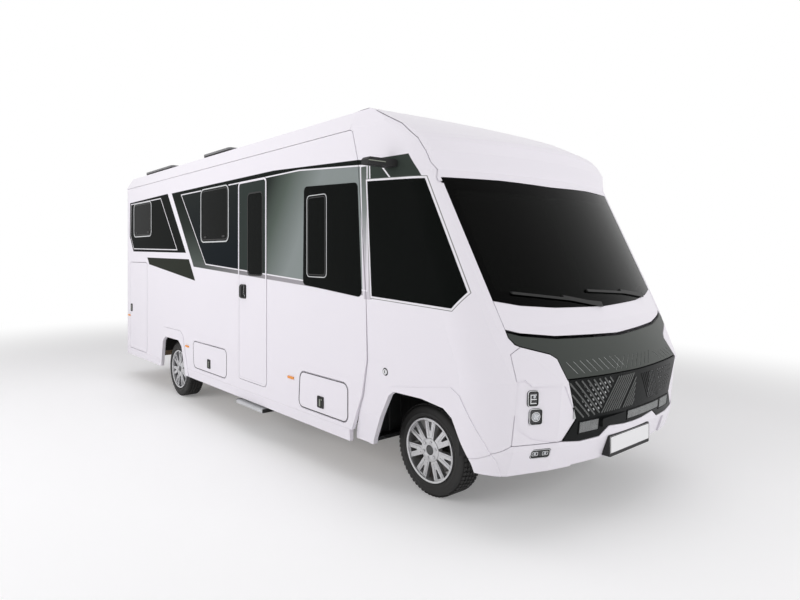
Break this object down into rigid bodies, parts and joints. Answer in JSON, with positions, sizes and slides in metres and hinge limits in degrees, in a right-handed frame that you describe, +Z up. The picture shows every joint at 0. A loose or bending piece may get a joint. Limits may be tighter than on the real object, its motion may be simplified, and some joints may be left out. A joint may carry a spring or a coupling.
{
  "type": "motorhome",
  "caption": "Integrated motorhome with a bowed dark windscreen, slatted black nose, white sandwich body, side door, lockers, roof hatches and twin-spoke wheels.",
  "frame": {"origin": "on the ground, half way along the length and on the middle line", "axes": "+X forward, +Y to the vehicle's left, +Z up"},
  "size_m": [6.8639, 2.79, 2.872],
  "materials": {
    "white_paint": "gloss",
    "dark_glass": "gloss",
    "screen_glass": "gloss",
    "black_plastic": "satin",
    "grey_plastic": "satin",
    "lamp_clear": "gloss",
    "lamp_red": "gloss",
    "marker_orange": "gloss",
    "plate_blank": "satin",
    "steel_frame": "satin",
    "cast_metal": "rough",
    "alloy": "satin",
    "step_alloy": "brushed",
    "tyre": "matt",
    "floor_wood": "satin",
    "furniture_wood": "satin",
    "seat_fabric": "matt",
    "bed_fabric": "matt"
  },
  "bodies": {
    "coach": {"scuttle_strip": "white_paint", "headlamp_panels": "white_paint", "front_bumper": "white_paint", "front_cap": "white_paint", "cab_sides": "white_paint", "side_wall_right": "white_paint", "side_wall_left": "white_paint", "skirts": "white_paint", "rear_arches": "white_paint", "rear_wall": "white_paint", "rear_bumper": "white_paint", "roof_shell": "white_paint", "lower_grille": "black_plastic", "camera_arms": "black_plastic", "wipers": "black_plastic", "dashboard": "black_plastic", "steering_wheel": "black_plastic", "wheel_housings": "black_plastic", "under_tanks": "black_plastic", "plate_holder": "black_plastic", "hatch_frames": "grey_plastic", "windscreen": "screen_glass", "cab_windows": "dark_glass", "side_windows": "dark_glass", "front_lamps": "lamp_clear", "rear_lamps": "lamp_red", "side_markers": "marker_orange", "plate_blanks": "plate_blank", "chassis_frame": "steel_frame", "front_suspension": "steel_frame", "rear_axle": "steel_frame", "seat_bases": "steel_frame", "engine_block": "cast_metal", "floor_panel": "floor_wood", "bed_platform": "furniture_wood", "cab_seats": "seat_fabric", "mattress": "bed_fabric"},
    "entrance_door": {"entrance_door": "white_paint", "entrance_door_glass": "dark_glass", "door_handle": "black_plastic"},
    "locker_lid_rear": {"locker_lid_rear": "white_paint"},
    "locker_lid_front": {"locker_lid_front": "white_paint"},
    "garage_door_right": {"garage_door_right": "white_paint"},
    "garage_door_left": {"garage_door_left": "white_paint"},
    "bonnet": {"bonnet": "black_plastic"},
    "hatch_lid_rear": {"hatch_lid_rear": "grey_plastic"},
    "hatch_lid_front": {"hatch_lid_front": "grey_plastic"},
    "entry_step": {"entry_step": "step_alloy"},
    "knuckle_right": {"knuckle_right": "cast_metal"},
    "knuckle_left": {"knuckle_left": "cast_metal"},
    "wheel_front_right": {"tyre_front_right": "tyre", "rim_front_right": "alloy"},
    "wheel_front_left": {"tyre_front_left": "tyre", "rim_front_left": "alloy"},
    "wheel_rear_right": {"tyre_rear_right": "tyre", "rim_rear_right": "alloy"},
    "wheel_rear_left": {"tyre_rear_left": "tyre", "rim_rear_left": "alloy"}
  },
  "joints": [
    {"name": "entrance_door_hinge", "type": "hinge", "parent": "coach", "child": "entrance_door", "pos_m": [0.571, -1.156, 1.4], "axis": [0, 0, 1], "range_deg": [0, 95]},
    {"name": "garage_door_right_hinge", "type": "hinge", "parent": "coach", "child": "garage_door_right", "pos_m": [-2.569, -1.156, 1], "axis": [0, 0, 1], "range_deg": [0, 120]},
    {"name": "garage_door_left_hinge", "type": "hinge", "parent": "coach", "child": "garage_door_left", "pos_m": [-2.569, 1.156, 1], "axis": [0, 0, -1], "range_deg": [0, 120]},
    {"name": "locker_lid_rear_hinge", "type": "hinge", "parent": "coach", "child": "locker_lid_rear", "pos_m": [-0.66, -1.156, 0.744], "axis": [-1, 0, 0], "range_deg": [0, 100]},
    {"name": "locker_lid_front_hinge", "type": "hinge", "parent": "coach", "child": "locker_lid_front", "pos_m": [1.42, -1.156, 0.742], "axis": [-1, 0, 0], "range_deg": [0, 100]},
    {"name": "bonnet_hinge", "type": "hinge", "parent": "coach", "child": "bonnet", "pos_m": [3.075, 0, 1.29], "axis": [0, -1, 0], "range_deg": [0, 45]},
    {"name": "hatch_lid_rear_hinge", "type": "hinge", "parent": "coach", "child": "hatch_lid_rear", "pos_m": [-2.58, -0.337, 2.85], "axis": [-1, 0, 0], "range_deg": [0, 50]},
    {"name": "hatch_lid_front_hinge", "type": "hinge", "parent": "coach", "child": "hatch_lid_front", "pos_m": [-0.815, -0.472, 2.85], "axis": [-1, 0, 0], "range_deg": [0, 50]},
    {"name": "entry_step_slide", "type": "slide", "parent": "coach", "child": "entry_step", "axis": [0, -1, 0], "range_m": [0, 0.24]},
    {"name": "steer_right", "type": "hinge", "parent": "coach", "child": "knuckle_right", "pos_m": [2.352, -0.62, 0.325], "axis": [0, 0, 1], "range_deg": [-32, 32]},
    {"name": "steer_left", "type": "hinge", "parent": "coach", "child": "knuckle_left", "pos_m": [2.352, 0.62, 0.325], "axis": [0, 0, 1], "range_deg": [-32, 32]},
    {"name": "wheel_front_right_spin", "type": "hinge", "parent": "knuckle_right", "child": "wheel_front_right", "pos_m": [2.352, -0.768, 0.325], "axis": [0, 1, 0], "continuous": true},
    {"name": "wheel_front_left_spin", "type": "hinge", "parent": "knuckle_left", "child": "wheel_front_left", "pos_m": [2.352, 0.768, 0.325], "axis": [0, 1, 0], "continuous": true},
    {"name": "wheel_rear_right_spin", "type": "hinge", "parent": "coach", "child": "wheel_rear_right", "pos_m": [-1.665, -0.977, 0.325], "axis": [0, 1, 0], "continuous": true},
    {"name": "wheel_rear_left_spin", "type": "hinge", "parent": "coach", "child": "wheel_rear_left", "pos_m": [-1.665, 0.977, 0.325], "axis": [0, 1, 0], "continuous": true}
  ],
  "couplings": [
    {"joint": "steer_left", "follows": "steer_right", "ratio": 1}
  ]
}
